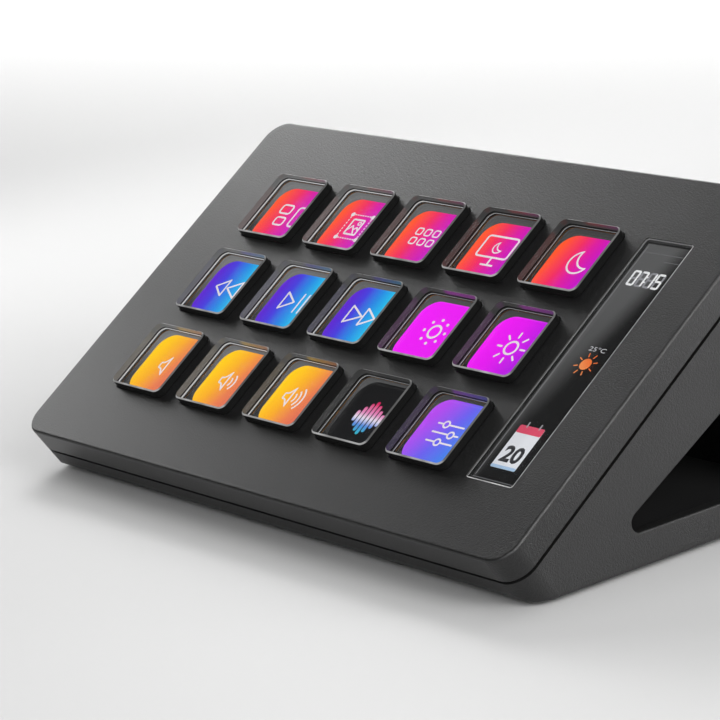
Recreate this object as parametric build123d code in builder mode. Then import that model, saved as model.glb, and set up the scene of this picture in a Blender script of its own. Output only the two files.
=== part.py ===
from build123d import *
from math import cos, radians, sin, tan
import os

# Desktop key pad: fifteen clear keys over one display, in a housing that leans
# back on a hollow wedge. Millimetres and degrees. +X is to the right, +Y to the
# back and +Z up. The origin lies on the table, under the middle of the whole pad.

# ---- Driving dimensions -----------------------------------------------------
# Face and lean
face_width = 137.0
face_height = 82.0
face_corner = 4.5
face_edge_round = 0.5
lean = 35.0                  # angle between the face and the table
front_edge_height = 9.4      # from the table to the lower edge of the face

# Keys
key_columns = 5
key_rows = 3
key_side_margin = 13.4       # left edge of the face to the key field
key_end_margin = 11.6        # upper and lower edge of the face to the key field
key_gap = 4.5                # from a key to its nearest neighbour
cap_corner = 1.5
cap_rise = 1.7               # how far a key stands above the face
cap_thickness = 4.5
cap_edge = 0.25
flange_width = 0.7
flange_thickness = 0.7
key_travel = 0.6
key_clearance = 0.2          # cap to cover, on each side
stop_gap = 0.05              # flange to its stop, at either end of the travel

# Clear strip beside the keys
strip_width = 11.5
strip_side_margin = 9.75     # right edge of the face to the strip
strip_end_margin = 14.0      # upper and lower edge of the face to the strip
strip_gap = 2.35             # from the key field to the strip
strip_corner = 0.6
strip_thickness = 0.9
strip_ledge = 0.6

# Front cover
plate_thickness = 1.4
wall = 2.2
cover_depth = 5.4
skin_at_seam = 1.1           # cover wall that is left outside the tongue
seam_gap = 0.5
seam_round = 0.2
tongue_height = 1.3
slip = 0.1                   # clearance of parts that are laid or slid together
hook_offset = 25.0           # snap hooks to either side of the middle
hook_width = 8.0
hook_thickness = 1.2
hook_length = 8.0            # from the face to the tip of a hook
hook_barb = 0.5
hook_barb_height = 1.2

# Display and contact layers
display_side_border = 2.3    # display beyond the outermost key and the strip
display_end_border = 3.6     # display beyond the key field, above and below
display_gap = 0.1            # pressed key to display
panel_thickness = 1.4
backlight_thickness = 2.0
backlight_corner = 0.8
carrier_thickness = 1.2
carrier_lip = 1.0
carrier_lip_inset = 10.0     # lip to the end of the display
carrier_rib = 10.0           # between the carrier's windows
carrier_rail = 9.0           # above and below them
carrier_window_corner = 3.0
film_thickness = 0.2
ribbon_thickness = 0.2
ribbon_bend = 1.0
ribbon_height = 0.7          # ribbon end above the board
ribbon_insert = 1.0          # length of a ribbon inside its socket
ribbon_end_margin = 3.0      # edge of the board to the ribbon's end
display_ribbon_width = 20.0
display_ribbon_reach = 2.2   # bend beyond the edge of the display
display_ribbon_up = -2.0     # place up the face
key_ribbon_width = 6.0
key_ribbon_reach = 3.8
key_ribbon_up = 20.0

# Main board
board_gap = 3.6              # carrier to board
board_side_margin = 15.8     # inner wall to board, left and right
board_front_margin = 10.8
board_back_margin = 0.4
board_corner = 2.0
board_thickness = 1.2
board_screw_side = 6.0       # screw to the edge of the board
board_screw_back = 8.0
standoff_height = 1.2
standoff_margin = 0.6        # stand-off beyond the screw head
socket_length = 5.0
socket_height = 1.5
socket_side = 1.2            # socket beyond the ribbon, on each side
chip_grid = 4.0              # unit of the chips' sizes and places
usb_width = 8.94
usb_height = 3.16
usb_length = 7.3
usb_wall = 0.3
usb_recess = 0.8             # mouth of the socket, below the outer wall
usb_tongue_width = 6.7
usb_tongue_thickness = 0.7
usb_tongue_setback = 1.0

# Wedge
tray_floor = 1.4
tray_round = 3.0
knee_depth = 16.1            # below the face, where the upper wall turns upright
knee_round = 8.0
lower_round = 0.7            # edge between the side walls and the underside
foot_height = 0.8
base_plate_thickness = 2.0
plate_ledge = 1.0
hollow_setback = 19.4        # from the front of the pad to the hollow
opening_setback = 23.1       # from the front to the sharp corner of the side opening
opening_sill = 6.1           # sill of the side opening above the underside
opening_rise = 30.0          # slope of its upper edge
opening_back_margin = 9.8    # from the opening to the rear wall
opening_nose_round = 1.8
opening_round = 3.0
opening_edge_round = 0.3

# Fasteners and feet
screw_radius = 0.8
screw_head_radius = 1.7
screw_head = 1.2
screw_hole_spare = 0.6       # hole beyond the end of its screw
carrier_screw_length = 4.6
carrier_screw_margin = 1.1   # post to the inner wall
carrier_screw_inset = 6.0    # outermost posts to the end of the display
carrier_boss_radius = 1.7
cover_screw_length = 7.0
cover_screw_side = 1.0       # post to the inner wall
cover_screw_front = 20.8     # post's middle to the inner wall
cover_screw_back = 10.8
boss_radius = 1.9
base_screw_length = 4.2
base_screw_side = 10.0       # to the side of the wedge
base_screw_front_inset = 4.0
base_screw_back_inset = 4.3
base_boss_radius = 2.4
base_post_height = 12.0
base_post_rib = 1.6
foot_length = 20.0
foot_width = 5.0
foot_recess = 0.6
foot_round = 0.4
foot_side_margin = 24.0      # foot's middle to the side of the wedge
foot_front_margin = 8.6
foot_back_margin = 6.6

# ---- Derived places ---------------------------------------------------------
lean_cos = cos(radians(lean))
lean_sin = sin(radians(lean))
face_middle_height = front_edge_height + face_height / 2 * lean_sin
face_reach = (face_height / 2 - face_edge_round) * lean_cos + face_edge_round * (1 - lean_sin)
overall_depth = face_reach + face_height / 2 * lean_cos + knee_depth * lean_sin
front_y = -overall_depth / 2
back_y = overall_depth / 2
hollow_front = front_y + hollow_setback
opening_nose = front_y + opening_setback
face = Plane(
    origin=(0, front_y + face_reach, face_middle_height),
    x_dir=(1, 0, 0),
    z_dir=(0, -lean_sin, lean_cos),
)
side = Plane.YZ

key_pitch_x = (face_width - key_side_margin - strip_gap - strip_width - strip_side_margin) / key_columns
key_pitch_y = (face_height - 2 * key_end_margin) / key_rows
cap_size = min(key_pitch_x, key_pitch_y) - key_gap
field_width = key_columns * key_pitch_x
field_height = key_rows * key_pitch_y
key_field_shift = key_side_margin + (field_width - face_width) / 2
strip_length = face_height - 2 * strip_end_margin
strip_offset = face_width / 2 - strip_side_margin - strip_width / 2

cap_bottom = cap_rise - cap_thickness
flange_top = -plate_thickness - stop_gap
flange_bottom = flange_top - flange_thickness
mat_top = flange_bottom - key_travel - stop_gap
panel_top = cap_bottom - key_travel - display_gap
film_top = panel_top + film_thickness
panel_bottom = panel_top - panel_thickness
backlight_bottom = panel_bottom - backlight_thickness
carrier_bottom = backlight_bottom - carrier_thickness
board_top = carrier_bottom - board_gap
board_bottom = board_top - board_thickness
tray_top = board_bottom - standoff_height
tray_bottom = tray_top - tray_floor
rim_top = -cover_depth - seam_gap

inner_width = face_width - 2 * wall
inner_height = face_height - 2 * wall
inner_corner = face_corner - wall
tongue_outside = 2 * (skin_at_seam + slip)
window_size = cap_size + 2 * key_clearance
window_corner = cap_corner + key_clearance
flange_size = cap_size + 2 * flange_width
pocket_size = flange_size + 2 * key_clearance

display_left = key_field_shift - (field_width - key_pitch_x) / 2 - cap_size / 2 - display_side_border
display_right = strip_offset + strip_width / 2 + display_side_border
display_width = display_right - display_left
display_middle = (display_left + display_right) / 2
display_height = field_height + 2 * display_end_border

front_roll = face_corner                # under the front edge, where it meets the corners' own round
underside = foot_height
plate_top = underside + base_plate_thickness
sill = underside + opening_sill
inner_back = back_y - wall
table_reach = 2 * face_height          # length that is certain to pass the wedge


def depth_plane(depth):
    """The plane parallel to the face at a depth, positive towards the viewer."""
    return face.offset(depth)


def side_point(up_face, depth):
    """Y and Z of the point that lies up_face along the face at a depth."""
    point = face.from_local_coords(Vector(0, up_face, depth))
    return (point.Y, point.Z)


def front_line_at(height, up_face):
    """Y and Z where the line square to the face at up_face comes to a height."""
    start_y, start_z = side_point(up_face, 0)
    drop = (start_z - height) / lean_cos
    return (start_y + drop * lean_sin, height)


# Fastener places, as (x, up the face) pairs or as (x, y) on the table
carrier_screw_up = inner_height / 2 - carrier_boss_radius - carrier_screw_margin
carrier_screw_places = [
    (display_middle + step * (display_width / 2 - carrier_screw_inset), edge * carrier_screw_up)
    for step in (-1, -1 / 3, 1 / 3, 1)
    for edge in (-1, 1)
]
cover_screw_x = inner_width / 2 - boss_radius - cover_screw_side
cover_screw_places = [
    (s * cover_screw_x, up)
    for s in (-1, 1)
    for up in (cover_screw_front - inner_height / 2, inner_height / 2 - cover_screw_back)
]
board_width = inner_width - 2 * board_side_margin
board_front = board_front_margin - inner_height / 2
board_back = inner_height / 2 - board_back_margin
board_middle = (board_front + board_back) / 2
board_screw_places = [
    (s * (board_width / 2 - board_screw_side), up)
    for s in (-1, 1)
    for up in (board_front + board_screw_side, board_back - board_screw_back)
]
base_screw_x = face_width / 2 - base_screw_side
base_screw_places = [
    (s * base_screw_x, y)
    for s in (-1, 1)
    for y in (hollow_front + base_screw_front_inset, inner_back - base_screw_back_inset)
]
foot_front = front_line_at(underside, -face_height / 2)[0] + foot_front_margin
foot_back = inner_back - foot_back_margin
foot_places = [(s * (face_width / 2 - foot_side_margin), y) for s in (-1, 1) for y in (foot_front, foot_back)]
hook_places = [(s * hook_offset, -inner_height / 2) for s in (-1, 1)]
hook_tip = -hook_length
ribbon_level = board_top + ribbon_height
ribbon_end = ribbon_end_margin - board_width / 2

key_places = [
    (row, column,
     key_field_shift + (column - (key_columns + 1) / 2) * key_pitch_x,
     ((key_rows + 1) / 2 - row) * key_pitch_y)
    for row in range(1, key_rows + 1)
    for column in range(1, key_columns + 1)
]
key_points = [(x, up) for _, _, x, up in key_places]

os.makedirs("parts", exist_ok=True)


def save(part, name):
    """Label one finished piece and write it as its own file."""
    part.label = name
    export_step(part, f"parts/{name}.step")


# ---- Front cover: plate, side wall, key windows, guide grid, bosses, hooks ---
with BuildPart() as front_cover:
    with BuildSketch(depth_plane(-cover_depth)):
        RectangleRounded(face_width, face_height, face_corner)
    extrude(amount=cover_depth)
    outline = front_cover.faces().sort_by(Axis(face.origin, face.z_dir))
    fillet(outline[-1].outer_wire().edges(), face_edge_round)
    outline = front_cover.faces().sort_by(Axis(face.origin, face.z_dir))
    fillet(outline[0].outer_wire().edges(), seam_round)
    # inside of the box
    with BuildSketch(depth_plane(-plate_thickness)):
        RectangleRounded(inner_width, inner_height, inner_corner)
    extrude(amount=-cover_depth, mode=Mode.SUBTRACT)
    # rebate that takes the tongue of the wedge
    with BuildSketch(depth_plane(-cover_depth)):
        RectangleRounded(
            face_width - 2 * skin_at_seam, face_height - 2 * skin_at_seam, face_corner - skin_at_seam
        )
    extrude(amount=tongue_height - seam_gap + slip, mode=Mode.SUBTRACT)
    # grid of ribs that guides the keys and holds the mat down
    with BuildSketch(depth_plane(mat_top)):
        with Locations((key_field_shift, 0)):
            Rectangle(field_width, field_height)
        with Locations(*key_points):
            RectangleRounded(pocket_size, pocket_size, window_corner, mode=Mode.SUBTRACT)
    extrude(amount=-plate_thickness - mat_top)
    with BuildSketch(depth_plane(0)):
        with Locations(*key_points):
            RectangleRounded(window_size, window_size, window_corner)
    extrude(amount=-plate_thickness, mode=Mode.SUBTRACT)
    # seat and window of the clear strip
    with BuildSketch(depth_plane(0)):
        with Locations((strip_offset, 0)):
            RectangleRounded(strip_width, strip_length, strip_corner)
    extrude(amount=-strip_thickness, mode=Mode.SUBTRACT)
    with BuildSketch(depth_plane(0)):
        with Locations((strip_offset, 0)):
            Rectangle(strip_width - 2 * strip_ledge, strip_length - 2 * strip_ledge)
    extrude(amount=-plate_thickness, mode=Mode.SUBTRACT)
    # posts for the display carrier and for the wedge
    with BuildSketch(depth_plane(-plate_thickness)):
        with Locations(*carrier_screw_places):
            Circle(carrier_boss_radius)
    extrude(amount=backlight_bottom + plate_thickness)
    with BuildSketch(depth_plane(backlight_bottom)):
        with Locations(*carrier_screw_places):
            Circle(screw_radius)
    extrude(amount=carrier_screw_length - carrier_thickness + screw_hole_spare, mode=Mode.SUBTRACT)
    with BuildSketch(depth_plane(-plate_thickness)):
        with Locations(*cover_screw_places):
            Circle(boss_radius)
    extrude(amount=tray_top + plate_thickness)
    with BuildSketch(depth_plane(tray_top)):
        with Locations(*cover_screw_places):
            Circle(screw_radius)
    extrude(amount=cover_screw_length - tray_floor + screw_hole_spare, mode=Mode.SUBTRACT)
    # snap hooks along the lower edge, with their barbs turned outwards
    for hook_x, hook_up in hook_places:
        with BuildSketch(depth_plane(hook_tip)):
            with Locations((hook_x, hook_up + 2 * slip + hook_thickness / 2)):
                Rectangle(hook_width, hook_thickness)
        extrude(amount=-plate_thickness - hook_tip)
        with BuildSketch(Plane(face.from_local_coords(Vector(hook_x, 0, 0)), x_dir=face.y_dir, z_dir=(1, 0, 0))):
            with BuildLine():
                barb_foot = hook_up + 2 * slip
                Polyline(
                    (barb_foot, hook_tip),
                    (barb_foot - hook_barb, hook_tip + hook_barb_height),
                    (barb_foot, hook_tip + hook_barb_height),
                    close=True,
                )
            make_face()
        extrude(amount=hook_width / 2, both=True)
save(front_cover.part, "front_cover")

# ---- Clear strip, laid flush in its seat --------------------------------------
with BuildPart() as strip_window:
    with BuildSketch(depth_plane(0)):
        with Locations((strip_offset, 0)):
            RectangleRounded(strip_width - slip, strip_length - slip, strip_corner)
    extrude(amount=-strip_thickness)
    chamfer(strip_window.faces().sort_by(Axis(face.origin, face.z_dir))[-1].edges(), slip)
save(strip_window.part, "strip_window")

# ---- Keys: thick clear blocks with a flange that stops them under the cover ---
for row, column, key_x, key_up in key_places:
    with BuildPart() as key_cap:
        with BuildSketch(depth_plane(cap_bottom)):
            with Locations((key_x, key_up)):
                RectangleRounded(cap_size, cap_size, cap_corner)
        extrude(amount=cap_thickness)
        chamfer(key_cap.faces().sort_by(Axis(face.origin, face.z_dir))[-1].edges(), cap_edge)
        with BuildSketch(depth_plane(flange_bottom)):
            with Locations((key_x, key_up)):
                RectangleRounded(flange_size, flange_size, cap_corner + flange_width)
        extrude(amount=flange_thickness)
    save(key_cap.part, f"key_cap_r{row}_c{column}")

# ---- Soft mat and contact film under the keys ----------------------------------
mat_width = field_width - 2 * slip
mat_height = field_height - 2 * slip
with BuildPart() as key_mat:
    with BuildSketch(depth_plane(film_top)):
        with Locations((key_field_shift, 0)):
            RectangleRounded(mat_width, mat_height, cap_corner)
        with Locations(*key_points):
            RectangleRounded(window_size, window_size, window_corner, mode=Mode.SUBTRACT)
    extrude(amount=mat_top - film_top)
save(key_mat.part, "key_mat")


def across_face(up_face):
    """Plane square to the face's slope, with its local Y along the depth."""
    return Plane(
        face.from_local_coords(Vector(0, up_face, 0)), x_dir=face.x_dir, z_dir=-face.y_dir
    )


def draw_ribbon(start_x, start_depth, turn_x):
    """Section of a flat cable that leaves to the left, turns down and comes back to the board."""
    with BuildLine() as path:
        FilletPolyline(
            (start_x, start_depth),
            (turn_x, start_depth),
            (turn_x, ribbon_level),
            (ribbon_end, ribbon_level),
            radius=ribbon_bend,
        )
    trace(path.line, line_width=ribbon_thickness)


with BuildPart() as contact_film:
    with BuildSketch(depth_plane(panel_top)):
        with Locations((key_field_shift, 0)):
            RectangleRounded(mat_width, mat_height, cap_corner)
        with Locations(*key_points):
            RectangleRounded(window_size, window_size, window_corner, mode=Mode.SUBTRACT)
    extrude(amount=film_thickness)
    with BuildSketch(across_face(key_ribbon_up)):
        film_left = key_field_shift - mat_width / 2
        draw_ribbon(film_left, panel_top + film_thickness / 2, display_left - key_ribbon_reach)
    extrude(amount=key_ribbon_width / 2, both=True)
save(contact_film.part, "contact_film")

# ---- Display: glass panel, backlight, carrier, ribbon ---------------------------
with BuildPart() as display_panel:
    with BuildSketch(depth_plane(panel_bottom)):
        with Locations((display_middle, 0)):
            Rectangle(display_width, display_height)
    extrude(amount=panel_thickness)
save(display_panel.part, "display_panel")

with BuildPart() as backlight_unit:
    with BuildSketch(depth_plane(backlight_bottom)):
        with Locations((display_middle, 0)):
            RectangleRounded(display_width, display_height, backlight_corner)
    extrude(amount=backlight_thickness)
save(backlight_unit.part, "backlight_unit")

with BuildPart() as display_carrier:
    lip_height = display_height + 2 * slip + 2 * carrier_lip
    with BuildSketch(depth_plane(carrier_bottom)):
        with Locations((display_middle, 0)):
            Rectangle(display_width, lip_height)
        for screw_x, screw_up in carrier_screw_places:
            ear_root = lip_height / 2 - carrier_lip
            ear_length = abs(screw_up) - ear_root
            with Locations((screw_x, (ear_root + ear_length / 2) * (1 if screw_up > 0 else -1))):
                Rectangle(2 * boss_radius, ear_length)
        with Locations(*carrier_screw_places):
            Circle(boss_radius)
        with Locations(*carrier_screw_places):
            Circle(screw_radius + slip, mode=Mode.SUBTRACT)
    extrude(amount=carrier_thickness)
    # lips that hold the display from above and below
    with BuildSketch(depth_plane(backlight_bottom)):
        with Locations((display_middle, 0)):
            Rectangle(display_width - 2 * carrier_lip_inset, lip_height)
            Rectangle(display_width - 2 * carrier_lip_inset, display_height + 2 * slip, mode=Mode.SUBTRACT)
        with Locations(*carrier_screw_places):
            Circle(boss_radius + slip, mode=Mode.SUBTRACT)
    extrude(amount=backlight_thickness)
    # lightening windows between cross ribs
    with BuildSketch(depth_plane(backlight_bottom)):
        with Locations((display_middle, 0)):
            with GridLocations(display_width / 3, 0, 3, 1):
                RectangleRounded(
                    display_width / 3 - carrier_rib, display_height - 2 * carrier_rail, carrier_window_corner
                )
    extrude(amount=-carrier_thickness, mode=Mode.SUBTRACT)
save(display_carrier.part, "display_carrier")

with BuildPart() as display_ribbon:
    with BuildSketch(across_face(display_ribbon_up)):
        draw_ribbon(
            display_left - ribbon_thickness / 2,
            panel_top - panel_thickness / 2,
            display_left - display_ribbon_reach,
        )
    extrude(amount=display_ribbon_width / 2, both=True)
save(display_ribbon.part, "display_ribbon")

# ---- Main board with its sockets and chips --------------------------------------
with BuildPart() as main_board:
    with BuildSketch(depth_plane(board_bottom)):
        with Locations((0, board_middle)):
            RectangleRounded(board_width, board_back - board_front, board_corner)
        with Locations(*board_screw_places):
            Circle(screw_radius + slip, mode=Mode.SUBTRACT)
    extrude(amount=board_thickness)
save(main_board.part, "main_board")

with BuildPart() as ribbon_sockets:
    for socket_up, socket_width in (
        (display_ribbon_up, display_ribbon_width), (key_ribbon_up, key_ribbon_width)
    ):
        with BuildSketch(depth_plane(board_top)):
            with Locations((ribbon_end - ribbon_insert + socket_length / 2, socket_up)):
                Rectangle(socket_length, socket_width + 2 * socket_side)
        extrude(amount=socket_height)
        with BuildSketch(depth_plane(ribbon_level - ribbon_thickness / 2 - slip)):
            with Locations((ribbon_end - ribbon_insert / 2, socket_up)):
                Rectangle(ribbon_insert + 4 * slip, socket_width + 2 * slip)
        extrude(amount=ribbon_thickness + 2 * slip, mode=Mode.SUBTRACT)
save(ribbon_sockets.part, "ribbon_sockets")

# Chips as (x, up the face, width, length, height), all in chip_grid units
chips = (
    (-2.0, 1.0, 3.0, 3.0, 0.3),
    (3.0, 1.5, 2.0, 2.0, 0.25),
    (6.5, -2.5, 1.5, 1.25, 0.25),
    (2.0, 5.5, 1.25, 1.25, 0.5),
)
with BuildPart() as board_chips:
    for chip in chips:
        chip_x, chip_up, chip_width, chip_length, chip_height = (chip_grid * value for value in chip)
        with BuildSketch(depth_plane(board_top)):
            with Locations((chip_x, chip_up)):
                Rectangle(chip_width, chip_length)
        extrude(amount=chip_height)
save(board_chips.part, "board_chips")

usb_middle = board_top + usb_height / 2
usb_mouth = face_height / 2 - usb_recess
usb_plane = Plane(face.from_local_coords(Vector(0, usb_mouth, usb_middle)), x_dir=face.x_dir, z_dir=face.y_dir)
with BuildPart() as usb_socket:
    with BuildSketch(usb_plane):
        SlotOverall(usb_width, usb_height)
    extrude(amount=-usb_length)
    with BuildSketch(usb_plane):
        SlotOverall(usb_width - 2 * usb_wall, usb_height - 2 * usb_wall)
    extrude(amount=usb_wall - usb_length, mode=Mode.SUBTRACT)
    with BuildSketch(usb_plane.offset(-usb_tongue_setback)):
        Rectangle(usb_tongue_width, usb_tongue_thickness)
    extrude(amount=usb_tongue_setback + usb_wall - usb_length)
save(usb_socket.part, "usb_socket")

# ---- Wedge: tray above, hollow below, a three-cornered opening through its sides --
with BuildPart() as tray_space:
    with BuildSketch(depth_plane(tray_top)):
        RectangleRounded(inner_width, inner_height, inner_corner)
    extrude(amount=-tray_top)
    # nothing of the tray comes nearer to the underside than the base plate is thick
    with BuildSketch(side) as tray_section:
        with BuildLine():
            Polyline(
                side_point(-inner_height / 2, 0),
                front_line_at(plate_top, -inner_height / 2),
                (inner_back, plate_top),
                (inner_back + face_height, plate_top),
                side_point(face_height, 0),
                close=True,
            )
        make_face()
        fillet(tray_section.vertices().sort_by(Axis.X)[0:2].sort_by(Axis.Y)[0], tray_round)
    extrude(amount=face_width, both=True, mode=Mode.INTERSECT)
    # stand-offs that carry the board
    with BuildSketch(depth_plane(tray_top)):
        with Locations(*board_screw_places):
            Circle(screw_head_radius + standoff_margin)
    extrude(amount=standoff_height, mode=Mode.SUBTRACT)

with BuildPart() as hollow_space:
    with BuildSketch(depth_plane(tray_bottom)):
        RectangleRounded(inner_width, inner_height + table_reach, inner_corner)
    extrude(amount=-table_reach)
    with BuildSketch(Plane.XY):
        with Locations((0, (hollow_front + inner_back) / 2)):
            RectangleRounded(inner_width, inner_back - hollow_front, inner_corner)
    extrude(amount=table_reach, mode=Mode.INTERSECT)
    # posts of the base plate's screws stay
    for post_x, post_y in base_screw_places:
        with BuildSketch(Plane.XY.offset(plate_top)):
            with Locations((post_x, post_y)):
                Circle(base_boss_radius)
            if post_y > 0:
                with Locations((post_x, (post_y + inner_back) / 2)):
                    Rectangle(base_post_rib, inner_back - post_y)
        extrude(amount=base_post_height, mode=Mode.SUBTRACT)

knee_z = side_point(face_height / 2, -knee_depth)[1]
with BuildPart() as stand_shell:
    with BuildSketch(depth_plane(rim_top)):
        RectangleRounded(face_width, face_height, face_corner)
        with Locations((0, face_height / 4)):
            Rectangle(face_width, face_height / 2)
    extrude(amount=-table_reach)
    # side view of the wedge, rolled at the front and bent at the rear
    with BuildSketch(side) as wedge_section:
        with BuildLine():
            Polyline(
                side_point(-face_height / 2, 0),
                front_line_at(underside, -face_height / 2),
                (back_y, underside),
                (back_y, knee_z),
                side_point(face_height / 2, 0),
                close=True,
            )
        make_face()
        roll_corner = wedge_section.vertices().sort_by(Axis.Y)[0:2].sort_by(Axis.X)[0]
        fillet(roll_corner, front_roll)
        knee_corner = wedge_section.vertices().sort_by_distance(Vector(back_y, knee_z))[0]
        fillet(knee_corner, knee_round)
    extrude(amount=face_width, both=True, mode=Mode.INTERSECT)
    # rounded rear corners, which run round the bend, then the lower edge
    for edge_x in (-face_width / 2, face_width / 2):
        fillet(stand_shell.edges().sort_by_distance(Vector(edge_x, back_y, knee_z / 2))[0], face_corner)
    fillet(stand_shell.edges().sort_by_distance(Vector(0, back_y, underside))[0], lower_round)
    add(tray_space.part, mode=Mode.SUBTRACT)
    add(hollow_space.part, mode=Mode.SUBTRACT)
    # tongue that enters the cover
    with BuildSketch(depth_plane(rim_top)):
        RectangleRounded(face_width - tongue_outside, face_height - tongue_outside, face_corner - tongue_outside / 2)
        RectangleRounded(inner_width, inner_height, inner_corner, mode=Mode.SUBTRACT)
    extrude(amount=tongue_height)
    # seat of the base plate
    with BuildSketch(Plane.XY.offset(underside)):
        with Locations((0, (hollow_front + inner_back) / 2)):
            RectangleRounded(
                inner_width + 2 * plate_ledge, inner_back - hollow_front + 2 * plate_ledge, inner_corner + plate_ledge
            )
    extrude(amount=base_plate_thickness, mode=Mode.SUBTRACT)
    # side openings
    with BuildSketch(side) as opening_section:
        opening_back = back_y - opening_back_margin
        with BuildLine():
            Polyline(
                (opening_nose, sill),
                (opening_back, sill),
                (opening_back, sill + (opening_back - opening_nose) * tan(radians(opening_rise))),
                close=True,
            )
        make_face()
        fillet(opening_section.vertices().sort_by(Axis.X)[0], opening_nose_round)
        fillet(opening_section.vertices().sort_by(Axis.X)[-2:], opening_round)
    extrude(amount=face_width, both=True, mode=Mode.SUBTRACT)
    for outermost in (0, -1):
        side_wall = stand_shell.faces().filter_by(Axis.X).sort_by(Axis.X)[outermost]
        fillet(side_wall.inner_wires().edges(), opening_edge_round)
    # slot of the inlet, screw holes, hook slots, seats of the front feet
    with BuildSketch(usb_plane.offset(usb_recess)):
        SlotOverall(usb_width + 4 * slip, usb_height + 4 * slip)
    extrude(amount=-wall - usb_recess, mode=Mode.SUBTRACT)
    with BuildSketch(depth_plane(tray_top)):
        with Locations(*cover_screw_places):
            Circle(screw_radius + slip)
    extrude(amount=-tray_floor, mode=Mode.SUBTRACT)
    with BuildSketch(depth_plane(board_bottom)):
        with Locations(*board_screw_places):
            Circle(screw_radius)
    extrude(amount=-standoff_height - tray_floor / 2, mode=Mode.SUBTRACT)
    with BuildSketch(Plane.XY.offset(plate_top)):
        with Locations(*base_screw_places):
            Circle(screw_radius)
    extrude(amount=base_screw_length + screw_head - base_plate_thickness + screw_hole_spare, mode=Mode.SUBTRACT)
    for hook_x, hook_up in hook_places:
        with BuildSketch(depth_plane(hook_tip - slip)):
            with Locations((hook_x, hook_up)):
                Rectangle(hook_width + 4 * slip, 2 * (hook_barb + slip))
        extrude(amount=hook_barb_height + 3 * slip, mode=Mode.SUBTRACT)
    with BuildSketch(Plane.XY.offset(underside)):
        with Locations(*[place for place in foot_places if place[1] < 0]):
            SlotOverall(foot_length, foot_width)
    extrude(amount=foot_recess, mode=Mode.SUBTRACT)
save(stand_shell.part, "stand_shell")

# ---- Base plate -----------------------------------------------------------------
with BuildPart() as base_plate:
    with BuildSketch(Plane.XY.offset(underside)):
        with Locations((0, (hollow_front + inner_back) / 2)):
            RectangleRounded(
                inner_width + 2 * (plate_ledge - slip),
                inner_back - hollow_front + 2 * (plate_ledge - slip),
                inner_corner + plate_ledge - slip,
            )
        with Locations(*base_screw_places):
            Circle(screw_radius + slip, mode=Mode.SUBTRACT)
    extrude(amount=base_plate_thickness)
    with BuildSketch(Plane.XY.offset(underside)):
        with Locations(*base_screw_places):
            Circle(screw_head_radius + slip)
        with Locations(*[place for place in foot_places if place[1] > 0]):
            SlotOverall(foot_length, foot_width)
    extrude(amount=foot_recess, mode=Mode.SUBTRACT)
    with BuildSketch(Plane.XY.offset(underside)):
        with Locations(*base_screw_places):
            Circle(screw_head_radius + slip)
    extrude(amount=screw_head, mode=Mode.SUBTRACT)
save(base_plate.part, "base_plate")

with BuildPart() as rubber_feet:
    with BuildSketch(Plane.XY):
        with Locations(*foot_places):
            SlotOverall(foot_length - 2 * slip, foot_width - 2 * slip)
    extrude(amount=foot_height + foot_recess)
    fillet(rubber_feet.faces().filter_by(Axis.Z).group_by(Axis.Z)[0].edges(), foot_round)
save(rubber_feet.part, "rubber_feet")

# ---- Screws: one node for each set of like screws ---------------------------------


def screws(head_plane, places, shaft_length):
    """Pan-head screws whose heads seat on head_plane and whose shafts run along its normal."""
    with BuildPart() as group:
        with BuildSketch(head_plane):
            with Locations(*places):
                Circle(screw_head_radius)
        extrude(amount=-screw_head)
        with BuildSketch(head_plane):
            with Locations(*places):
                Circle(screw_radius)
        extrude(amount=shaft_length)
        with BuildSketch(head_plane.offset(-screw_head)):
            with Locations(*places):
                RegularPolygon(screw_radius, 6)
        extrude(amount=screw_head / 2, mode=Mode.SUBTRACT)
    return group.part


save(screws(depth_plane(carrier_bottom), carrier_screw_places, carrier_screw_length), "carrier_screws")
save(screws(depth_plane(tray_bottom), cover_screw_places, cover_screw_length), "cover_screws")
board_screw_plane = Plane(depth_plane(board_top).origin, x_dir=face.x_dir, z_dir=-face.z_dir)
board_screw_points = [(x, -up) for x, up in board_screw_places]
save(screws(board_screw_plane, board_screw_points, board_thickness + standoff_height), "board_screws")
save(screws(Plane.XY.offset(underside + screw_head), base_screw_places, base_screw_length), "base_screws")
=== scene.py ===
# %% [markdown]
# # A desk key pad with lit keys
# Fifteen thick clear keys stand in three rows over a long display. A narrow lit strip
# runs beside them, and the housing leans back on a hollow wedge. All the solid parts
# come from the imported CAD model, which is loaded first and never moved. This script
# gives each of them its finish, and adds what is only light: the coloured tiles that
# shine up through the keys, their white symbols, and the readings on the strip.

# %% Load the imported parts
from math import cos, pi, radians, sin

import bmesh
import bpy
from mathutils import Matrix, Vector


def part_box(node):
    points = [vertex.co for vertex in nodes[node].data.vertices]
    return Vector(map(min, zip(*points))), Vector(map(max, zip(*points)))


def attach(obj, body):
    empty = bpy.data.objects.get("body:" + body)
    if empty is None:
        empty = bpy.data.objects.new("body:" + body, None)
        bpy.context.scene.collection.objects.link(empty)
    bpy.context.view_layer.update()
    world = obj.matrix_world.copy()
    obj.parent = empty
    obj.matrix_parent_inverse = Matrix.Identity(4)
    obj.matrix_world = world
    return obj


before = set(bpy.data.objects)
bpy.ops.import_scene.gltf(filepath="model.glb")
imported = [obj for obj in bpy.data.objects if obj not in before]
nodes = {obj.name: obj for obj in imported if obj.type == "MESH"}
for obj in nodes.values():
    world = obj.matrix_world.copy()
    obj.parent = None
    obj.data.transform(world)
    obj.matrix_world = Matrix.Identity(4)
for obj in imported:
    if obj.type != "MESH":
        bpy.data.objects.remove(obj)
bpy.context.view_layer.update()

print("CAD nodes:", len(nodes))

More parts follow.
